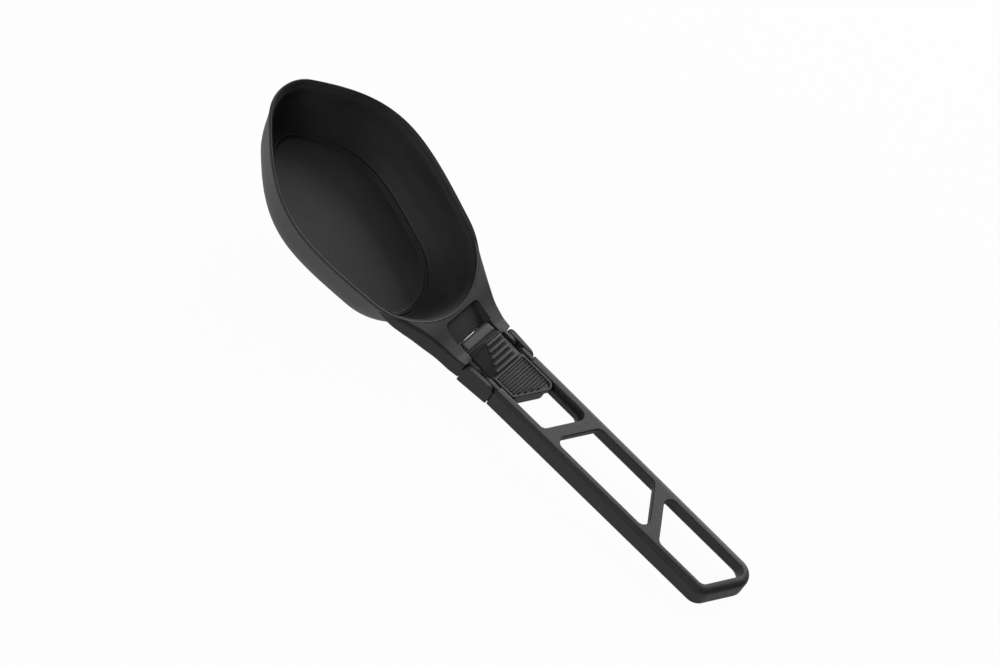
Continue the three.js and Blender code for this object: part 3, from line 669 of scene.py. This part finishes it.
# %% [markdown]
# Bowl, neck and prongs leave the mould as one piece, so here they are joined into one mesh. The bowl is a
# single stack of rings: up the outer face, over the lip and down the inner face.

# %% The bowl and neck in one
bowl = solid(np.vstack([outer_rings, lip_rings, inner_rings]))
bowl = added(bowl, neck, *both_prongs(PIVOT_PLACE, PRONG_ROOT))
finish_piece(bowl, "bowl_and_neck", "head", "charcoal_nylon", body_nylon, "bowl_head")

# %% [markdown]
# The handle is a frame moulded in one: two rails, two slanted bars and a slanted end. The quickest faithful
# way is the mould maker's: a block with rounded edges, less three openings, less the hollow beneath. Each
# opening's own edge is rounded too, which is what catches the light all round it in the photograph. The
# first opening has a ledge on each side, on which the slider runs.

# %% Handle openings
HANDLE_WIDTH, HANDLE_REACH, RAIL, RAIL_FOOT = 24.8, 125.9, 3.4, 0.3
BAR_ANGLE, SECOND_ANGLE = math.radians(25.2), math.radians(33.2)
FIRST_BAR, SECOND_BAR, BAR_STEP, BAR_DEPTH, END_BAR = 40.5, 84.0, 5.5, 2.9, 3.7
OPENING_RADIUS, OPENING_EDGE, LEAN, WALL_FOOT, UNDER_REACH = 2.8, 0.5, 0.1, -4.9, 1.2
LEDGE_IN, LEDGE_TOP, LEDGE_LOW, LEDGE_START = 1.6, -2.4, -5.0, 15.6
INNER = HANDLE_WIDTH / 2 - RAIL


def slanted(front, front_angle, rear, rear_angle, half):
    """The corners of an oblong whose two ends are slanted: x = end + y tan(angle)."""
    run, back = math.tan(front_angle) * half, math.tan(rear_angle) * half
    return [(front - run, -half), (rear - back, -half), (rear + back, half), (front + run, half)]


def underside_half(level):
    """Half the gap between the rails' sloping undersides at a level below their upright walls."""
    share = (WALL_FOOT - level) / (DEPTH + WALL_FOOT)
    return INNER - LEAN + share * (HANDLE_WIDTH / 2 - RAIL_FOOT - INNER + LEAN)


def opening(front, front_angle, rear, rear_angle, ledge):
    """The cut through one opening: a rounded upper edge, an upright wall, then the sloping underside or a
    ledge. A level is how far in the sides are, how far in the ends are, and a height."""
    angle = np.linspace(0, np.pi / 2, EDGE_STEPS + 1)
    rounding = OPENING_EDGE * np.column_stack([np.sin(angle) - 1] * 2 + [np.cos(angle) - 1])
    wall = [[LEAN, 0, WALL_FOOT]]
    if ledge:
        wall = [[LEDGE_IN, 0, LEDGE_TOP], [LEDGE_IN, 0, LEDGE_LOW],
                [INNER - underside_half(LEDGE_LOW), 0, LEDGE_LOW]]
    foot = [INNER - underside_half(BOTTOM), -UNDER_REACH, BOTTOM]
    levels = np.vstack([[[-OPENING_EDGE, -OPENING_EDGE, PAST]], rounding, [[0, 0, LEDGE_TOP]], wall, [foot]])
    rings = []
    for side, end, level in levels:
        corners = slanted(front + end, front_angle, rear - end, rear_angle, INNER - side)
        rings.append(at_level(rounded_outline(corners, [OPENING_RADIUS - min(side, end)] * 4), level))
    return solid(rings)


def under_bars():
    """The hollow under both bars: the rails' inner section carried from before one bar to past the other."""
    tip, low = INNER - LEAN, underside_half(BOTTOM)
    section = np.array([(-tip, -BAR_DEPTH), (tip, -BAR_DEPTH), (tip, WALL_FOOT), (low, BOTTOM),
                        (-low, BOTTOM), (-tip, WALL_FOOT)])
    ends = ((FIRST_BAR - PAST, BAR_ANGLE), (SECOND_BAR + BAR_STEP + 9 * PAST, -SECOND_ANGLE))
    return solid([np.column_stack([x + math.tan(angle) * section[:, 0], section]) for x, angle in ends])


print("gap between the rails in mm", round(2 * INNER, 1))

# %% [markdown]
# The block itself grows softer towards the tip. Two blocks have the same points, one with tight edges and
# one with soft ones, and the place along the handle says how far each point lies between them. The prongs
# go on at the front, and beside each a small heel closes the slit behind its link.

# %% Handle
TOP_EDGE, LOW_EDGE, TIP_TOP_EDGE, TIP_LOW_EDGE = 1.3, 0.6, 2.4, 1.5
TIP_START, TIP_FULL, HANDLE_RADII = 88.0, 116.9, [0.5, 5.6, 6.6, 0.5]
LINK_END, END_GAP, ROOT_IN = 3.4, 0.3, 0.55
HEEL_START, HEEL_DROP, HEEL_EDGE = 2.2, 2.0, 0.2
REAR_PIVOT = PIVOT_PLACE + PIVOT_SPACING
HANDLE_FRONT = REAR_PIVOT + LINK_END + END_GAP

handle_corners = slanted(HANDLE_FRONT, 0, HANDLE_REACH, BAR_ANGLE, HANDLE_WIDTH / 2)
tight, soft = (stepped(handle_corners, HANDLE_RADII, plate_levels(-DEPTH, 0, low_edge, top_edge))
               for low_edge, top_edge in ((LOW_EDGE, TOP_EDGE), (TIP_LOW_EDGE, TIP_TOP_EDGE)))
along_tip = np.clip((tight[..., :1] - TIP_START) / (TIP_FULL - TIP_START), 0, 1)
handle = cut(
    solid(tight + along_tip * (soft - tight)),
    under_bars(),
    opening(HANDLE_FRONT - OPENING_RADIUS, 0, FIRST_BAR, BAR_ANGLE, True),
    solid(stepped(oblong(HANDLE_FRONT - PAST, LEDGE_START, INNER), [SMALL] * 4, [[0, BOTTOM], [0, PAST]])),
    opening(FIRST_BAR + BAR_STEP, BAR_ANGLE, SECOND_BAR, -SECOND_ANGLE, False),
    opening(SECOND_BAR + BAR_STEP, -SECOND_ANGLE, HANDLE_REACH - END_BAR / math.cos(BAR_ANGLE), BAR_ANGLE,
            False),
)
heel_plan = oblong(REAR_PIVOT + HEEL_START, HANDLE_FRONT + 2 * ROOT_IN, (PRONG_OUT - PRONG_IN) / 2)
heel_levels = plate_levels(HEEL_EDGE - DEPTH, -PIVOT_DROP - HEEL_DROP, HEEL_EDGE, HEEL_EDGE)
heel = solid(stepped(heel_plan, [SMALL] * 4, heel_levels) + [0, (PRONG_IN + PRONG_OUT) / 2, 0])
handle = added(handle, *both_prongs(REAR_PIVOT, HANDLE_FRONT + ROOT_IN), heel, mirrored_copy(heel))
finish_piece(handle, "handle_moulding", "handle", "charcoal_nylon", body_nylon, "handle_frame")

# %% [markdown]
# A hinge link is a small block with generous upper corners, and its outer face narrows from the neck's
# width to the handle's. Its rings are stacked outward, and afterwards each point is drawn inward by how
# far along and how far out it lies. Two blind bores take the pins.

# %% Hinge links
LINK_IN, LINK_OUT, LINK_REAR = PRONG_OUT + 0.25, NECK_WIDTH / 2, 12.7
LINK_X0, LINK_X1 = PIVOT_PLACE - LINK_END, REAR_PIVOT + LINK_END
LINK_RADII, LINK_IN_EDGE, LINK_OUT_EDGE = [0.5, 0.5, 2.7, 2.7], 0.3, 0.4
PIN_TIP = LINK_REAR - 0.6


def link_shape():
    """Rings of a rounded oblong in X and Z stacked from the inner face to the outer, then narrowed:
    y falls by the share along the link times the share outward times the difference of the two widths."""
    corners = [(LINK_X0, -DEPTH), (LINK_X1, -DEPTH), (LINK_X1, 0), (LINK_X0, 0)]
    rings = across(stepped(corners, LINK_RADII, plate_levels(LINK_IN, LINK_OUT, LINK_IN_EDGE, LINK_OUT_EDGE)))
    outward = (rings[..., 1] - LINK_IN) / (LINK_OUT - LINK_IN)
    rings[..., 1] -= outward * (rings[..., 0] - LINK_X0) / (LINK_X1 - LINK_X0) * (LINK_OUT - LINK_REAR)
    return cut(solid(rings), *(peg(pivot, PIN_RADIUS + PIN_GAP, LINK_IN - PAST, PIN_TIP + PIN_GAP)
                               for pivot in (PIVOT_PLACE, REAR_PIVOT)))


link_right = link_shape()
link_left = mirrored_copy(link_right)
finish_piece(link_right, "link_right", "links", "charcoal_nylon", body_nylon, "hinge_link_right")
finish_piece(link_left, "link_left", "links", "charcoal_nylon", body_nylon, "hinge_link_left")

# %% [markdown]
# The lock slider is the most detailed piece. Its rear is a thumb pad: a smooth raised border round a sunk
# field of fine cross ribs. In front rises the ramp, narrow at its top and wide at its foot, with coarse
# ribs down its rear face. In front of the ramp is a smooth nose that fills the neck's window and locks the
# hinge. A keeper under the handle's ledges holds the slider down. Most of these are plain plates with
# rounded edges, so they share one helper, and the border's inner edge is one more stack of rings.

# %% Slider plates and nose
NOSE_REACH, NOSE_BAR, NOSE_HALF = 7.3, 5.0, 8.5
NOSE_EDGE, NOSE_DEPTH = 1.6, 7.6
PLATE, WEB_HALF, SLIDER_DEPTH = 2.15, 7.1, 5.8
PAD_START, PAD_REAR, PAD_HALF, PAD_EDGE = 10.6, 24.8, 8.7, 0.15
RECESS, BORDER, BORDER_EDGE = 0.75, 0.95, 0.22
PAD_RADII = [SMALL, 1.4, 2.8, SMALL]
KEEPER_TOP, KEEPER_LENGTH, KEEPER_HALF, KEEPER_DEPTH, KEEPER_EDGE = LEDGE_LOW - 0.3, 5.0, 8.1, 1.4, 0.25


def plate(corners, radii, *levels):
    """A solid plate: a rounded outline with rounded edges between two levels."""
    return solid(stepped(corners, radii, plate_levels(*levels)))


def pad_corners(half):
    """The pad's outline: square in front and slanted behind like the handle's bars."""
    return slanted(PAD_START, 0, PAD_REAR, BAR_ANGLE, half)


border_turn = np.linspace(0, np.pi / 2, 6)
border_arc = BORDER_EDGE * np.column_stack([np.cos(border_turn) - 1, np.sin(border_turn) - 1])
recess_levels = np.vstack([
    [[BORDER + 0.12, -RECESS], [BORDER, 0.12 - RECESS], [BORDER, -BORDER_EDGE]],
    border_arc + [BORDER, 0],
    [[BORDER - 0.3, 0.08]],
])
nose_radii = [NOSE_EDGE, SMALL, SMALL, NOSE_EDGE]
slider_plates = [
    cut(plate(pad_corners(PAD_HALF), PAD_RADII, -PLATE, 0, PAD_EDGE, SMALL, 5),
        solid(stepped(pad_corners(PAD_HALF), PAD_RADII, recess_levels))),
    plate(pad_corners(WEB_HALF), PAD_RADII, -SLIDER_DEPTH, -PLATE / 2, SMALL, PAD_EDGE, 4),
    plate(oblong(-NOSE_REACH, NOSE_BAR - NOSE_REACH, NOSE_HALF), nose_radii, -PLATE, 0, SMALL, NOSE_EDGE, 9),
    plate(oblong(-NOSE_REACH + NOSE_BAR / 2, PAD_START + 1, NOSE_HALF), [SMALL] * 4, -PLATE, -RECESS, SMALL,
          0.1, 3),
    plate(oblong(-NOSE_REACH, PAD_START + 1, WEB_HALF), nose_radii, -NOSE_DEPTH, -PLATE / 2, NOSE_EDGE,
          SMALL, 4),
]
keeper = plate(oblong(LEDGE_START, LEDGE_START + KEEPER_LENGTH, KEEPER_HALF), [0.4] * 4,
               KEEPER_TOP - KEEPER_DEPTH, KEEPER_TOP, KEEPER_EDGE, KEEPER_EDGE, 3)
print("slider plates", len(slider_plates) + 1)

# %% [markdown]
# The ramp is a hill across the slider whose height and top width come from a table. Its ribs, and the fine
# ones of the pad, are bars with round ends, set at even steps: on the ramp each is as long as the hill's
# top is wide, and on the pad each ends where the slanted border begins.

# %% Slider ramp and ribs
RAMP_START, RAMP_LENGTH, RAMP_HEIGHT, RAMP_EDGE = -2.3, 13.3, 5.6, 0.35
RAMP_TABLE = np.array([  # place along the ramp, height and top width as shares
    [0, 0, 0.76], [0.05, 0.62, 0.62], [0.11, 0.94, 0.53], [0.15, 1, 0.49], [0.2, 0.87, 0.49],
    [0.45, 0.55, 0.54], [0.7, 0.235, 0.63], [0.9, -0.01, 0.73], [1, -0.15, 0.78],
])
RAMP_RADII, LOW_RAMP, LOW_RAMP_RADIUS = [SMALL, SMALL, 0.1, 0.45, 0.45, 0.45, 0.45, 0.1], 0.6, 0.2
RIB_PLACE, RIB_PITCH, RIB_WIDTH, RIB_LONGER = 2.9, 2.2, 1.2, 0.17
RIB_HEIGHT, RIB_SINK, RIB_EDGE = 0.72, 1.2, 0.22
PAD_PITCH, PAD_RIB, PAD_DROP = 1.19, 0.76, 0.06


def ramp_section(row):
    """A rounded hill across the slider: steep sides that end in soft upper edges."""
    place, height, width = row
    top, high = NOSE_HALF * width, RAMP_HEIGHT * height
    side, shoulder = top + RAMP_EDGE, high - RAMP_EDGE
    corners = [(-NOSE_HALF, -PLATE), (NOSE_HALF, -PLATE), (NOSE_HALF, -RECESS), (side, shoulder), (top, high),
               (-top, high), (-side, shoulder), (-NOSE_HALF, -RECESS)]
    radii = np.minimum(RAMP_RADII, LOW_RAMP_RADIUS) if high < LOW_RAMP else RAMP_RADII
    return at_place(rounded_outline(corners, radii), RAMP_START + RAMP_LENGTH * place)


def ramp_share(place, column):
    """A column of the ramp's table, read at a place along the handle."""
    return float(np.interp((place - RAMP_START) / RAMP_LENGTH, RAMP_TABLE[:, 0], RAMP_TABLE[:, column]))


def rib(low, high, width, bottom, top):
    """Rings of a bar across the slider with round ends and a rounded upper edge."""
    half = width / 2
    corners = [(-half, low), (half, low), (half, high), (-half, high)]
    return stepped(corners, [half * 0.98] * 4, plate_levels(bottom, top, 0.02, RIB_EDGE, 5), 6)


ramp = solid([ramp_section(row) for row in smooth_path(RAMP_TABLE, 57)])
ribs = []
for count in range(int((RAMP_LENGTH - RIB_PLACE) / RIB_PITCH) + 1):
    place = RAMP_START + RIB_PLACE + count * RIB_PITCH
    half = NOSE_HALF * ramp_share(place, 2) + RIB_LONGER
    on_ramp = [place, 0, RAMP_HEIGHT * ramp_share(place, 1)]
    ribs.append(solid(rib(-half, half, RIB_WIDTH, -RIB_SINK, RIB_HEIGHT) + on_ramp))
bar_slope = math.tan(BAR_ANGLE)
pad_half = PAD_HALF - BORDER - PAD_RIB / 2
pad_end = PAD_REAR - BORDER / math.cos(BAR_ANGLE) - PAD_RIB
first = PAD_START + BORDER + PAD_PITCH / 2
for count in range(int((pad_end + bar_slope * (pad_half - PAD_RADII[2]) - first) / PAD_PITCH) + 1):
    place = first + count * PAD_PITCH
    low = max(-pad_half, (place - pad_end) / bar_slope)
    ribs.append(solid(rib(low, pad_half, PAD_RIB, -RECESS - SMALL, -PAD_DROP) + [place, 0, 0]))
print("ribs", len(ribs))
slider = added(*slider_plates, ramp, keeper, *ribs)
finish_piece(slider, "slider_moulding", "slider", "slider_nylon", slider_nylon, "lock_slider")

# %% [markdown]
# The hinge turns on four headed steel pins. A pin is a turned part, so it is a profile of radii carried
# round its axis: a head with a softly broken edge, a straight shank and a bevelled tip.

# %% Pins
PIN_FACE, PIN_BACK = PRONG_IN + PIN_GAP / 2, PRONG_IN + HEAD_DEPTH - PIN_GAP
PIN_PROFILE = [  # radius and place along the axis
    (0.02, PIN_FACE), (1.6, PIN_FACE), (1.82, PIN_FACE + 0.06), (PIN_HEAD, PIN_FACE + 0.14),
    (PIN_HEAD, PIN_BACK - 0.05), (PIN_HEAD - 0.05, PIN_BACK), (PIN_RADIUS + 0.1, PIN_BACK),
    (PIN_RADIUS, PIN_BACK + 0.1), (PIN_RADIUS, PIN_TIP - 0.25), (PIN_RADIUS - 0.25, PIN_TIP), (0.02, PIN_TIP),
]


def pin_shape(pivot, side):
    """A profile of (radius, place) pairs carried round the pivot's axis, to the right (1) or left (-1)."""
    rings = across([at_level(disc(radius, 48) + [pivot, -PIVOT_DROP], y) for radius, y in PIN_PROFILE])
    return solid(rings * [1, side, 1])


print("pin length in mm", round(PIN_TIP - PIN_FACE, 2))

# %% [markdown]
# Turned steel shows fine rings round its axis and wider marks along it. One noise, squeezed along the axis,
# serves for both: it moves the tint, the gloss and a very shallow bump together.

# %% Turned steel
steel, steel_tree, steel_shader = new_material("turned_steel")
steel_shader.inputs["Metallic"].default_value = 1.0
steel_place = add_node(steel_tree, "TexCoord")
steel_stretch = add_node(steel_tree, "Mapping", {"Scale": (900, 9000, 900)})
steel_marks = add_node(steel_tree, "TexNoise", {"Scale": 1.0, "Detail": 4.0})
steel_gloss = add_node(steel_tree, "MapRange", {"To Min": 0.24, "To Max": 0.46})
steel_tint = add_node(steel_tree, "Mix", {"A": (0.42, 0.42, 0.43, 1), "B": (0.60, 0.60, 0.61, 1)},
                      data_type="RGBA")
steel_bump = add_node(steel_tree, "Bump", {"Strength": 0.25, "Distance": 0.00002})
link_nodes(
    steel_tree,
    (steel_place.outputs["Object"], steel_stretch.inputs["Vector"]),
    (steel_stretch.outputs["Vector"], steel_marks.inputs["Vector"]),
    (steel_marks.outputs["Fac"], steel_gloss.inputs["Value"]),
    (steel_marks.outputs["Fac"], steel_tint.inputs["Factor"]),
    (steel_marks.outputs["Fac"], steel_bump.inputs["Height"]),
    (steel_gloss.outputs["Result"], steel_shader.inputs["Roughness"]),
    (steel_tint.outputs["Result"], steel_shader.inputs["Base Color"]),
    (steel_bump.outputs["Normal"], steel_shader.inputs["Normal"]),
)
for side_name, side in (("right", 1), ("left", -1)):
    for place_name, pivot in (("front", PIVOT_PLACE), ("rear", REAR_PIVOT)):
        node = f"{place_name}_pin_{side_name}"
        finish_piece(pin_shape(pivot, side), f"turned_{node}", "links", "pin_steel", steel, node)

# %% [markdown]
# The photograph is a cut-out on pure white. The floor stays a real, pale, diffuse surface, so that the spoon
# keeps a soft contact shadow and gets light from below, but the camera sees it mostly as plain white: the
# share of its own light is raised for camera, glossy and transmitted rays only.

# %% Floor
FLOOR_HALF, OWN_LIGHT = 3.0, 0.97
floor_mesh = bpy.data.meshes.new("pale_floor")
floor_corners = [(x, y, 0) for x, y in oblong(-FLOOR_HALF, FLOOR_HALF, FLOOR_HALF)]
floor_mesh.from_pydata(floor_corners, [], [(0, 1, 2, 3)])
floor = bpy.data.objects.new("pale_floor", floor_mesh)
bpy.context.scene.collection.objects.link(floor)
paper, paper_tree, paper_shader = new_material("pale_paper")
paper_shader.inputs["Roughness"].default_value = 0.9
paper_place = add_node(paper_tree, "TexCoord")
paper_grain = add_node(paper_tree, "TexNoise", {"Scale": 600.0})
paper_tone = shade_ramp(paper_tree, 0, 1, (0.36, 0.36, 0.36), (0.42, 0.42, 0.42))
paper_white = add_node(paper_tree, "Emission", {"Strength": 1.0})
paper_rays = add_node(paper_tree, "LightPath")
paper_seen = add_node(paper_tree, "Math", operation="MAXIMUM")
paper_seen_too = add_node(paper_tree, "Math", operation="MAXIMUM")
paper_share = add_node(paper_tree, "Math", {1: OWN_LIGHT}, operation="MULTIPLY")
paper_mix = add_node(paper_tree, "MixShader")
link_nodes(
    paper_tree,
    (paper_place.outputs["Object"], paper_grain.inputs["Vector"]),
    (paper_grain.outputs["Fac"], paper_tone.inputs["Fac"]),
    (paper_tone.outputs["Color"], paper_shader.inputs["Base Color"]),
    (paper_rays.outputs["Is Camera Ray"], paper_seen.inputs[0]),
    (paper_rays.outputs["Is Glossy Ray"], paper_seen.inputs[1]),
    (paper_seen.outputs[0], paper_seen_too.inputs[0]),
    (paper_rays.outputs["Is Transmission Ray"], paper_seen_too.inputs[1]),
    (paper_seen_too.outputs[0], paper_share.inputs[0]),
    (paper_share.outputs[0], paper_mix.inputs[0]),
    (paper_shader.outputs["BSDF"], paper_mix.inputs[1]),
    (paper_white.outputs["Emission"], paper_mix.inputs[2]),
    (paper_mix.outputs["Shader"], paper_tree.nodes["Material Output"].inputs["Surface"]),
)
floor.data.materials.append(paper)
floor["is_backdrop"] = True
print("floor width in m", 2 * FLOOR_HALF)

# %% [markdown]
# The light is a photographer's plain set. One broad soft lamp stands low behind the spoon: it gives the
# flat tops their even grey, leaves the bowl in its own shade, and draws the thin bright line along the lip.
# A weaker lamp above it and another in front fill the hollows, and a dim even surround does the rest.

# %% Lights and surround
LAMP_WIDTH, SURROUND = 0.8, 0.12
LAMPS = (  # name, place in metres, power in watts
    ("low_behind", (-0.24, 1.31, 0.69), 39.0),
    ("high_behind", (-0.15, 0.90, 1.19), 6.5),
    ("front_fill", (-0.30, -1.21, 0.83), 11.0),
)
for name, place, power in LAMPS:
    lamp_data = bpy.data.lights.new(name, "AREA")
    lamp_data.shape, lamp_data.size, lamp_data.energy = "SQUARE", LAMP_WIDTH, power
    lamp = bpy.data.objects.new(name, lamp_data)
    bpy.context.scene.collection.objects.link(lamp)
    lamp.location = place
    lamp.rotation_euler = (-Vector(place)).to_track_quat("-Z", "Y").to_euler()
world = bpy.data.worlds.new("grey_surround")
bpy.context.scene.world = world
world.use_nodes = True
surround = world.node_tree.nodes["Background"]
surround.inputs["Color"].default_value, surround.inputs["Strength"].default_value = (1, 1, 1, 1), SURROUND
bpy.context.scene.view_settings.view_transform = "Standard"
print("lamps", [name for name, *_ in LAMPS])

# %% [markdown]
# Last, the dressed spoon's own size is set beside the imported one's, so that a reader can see that
# the smooth surfaces stay inside the solids that collide and move.

# %% Sizes and the end
visual_low, visual_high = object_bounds()
for label, cad_size, visual_size in zip("xyz", cad_high - cad_low, visual_high - visual_low):
    print(label, "size in mm: packed", round(1000 * float(cad_size), 2),
          "dressed", round(1000 * float(visual_size), 2))
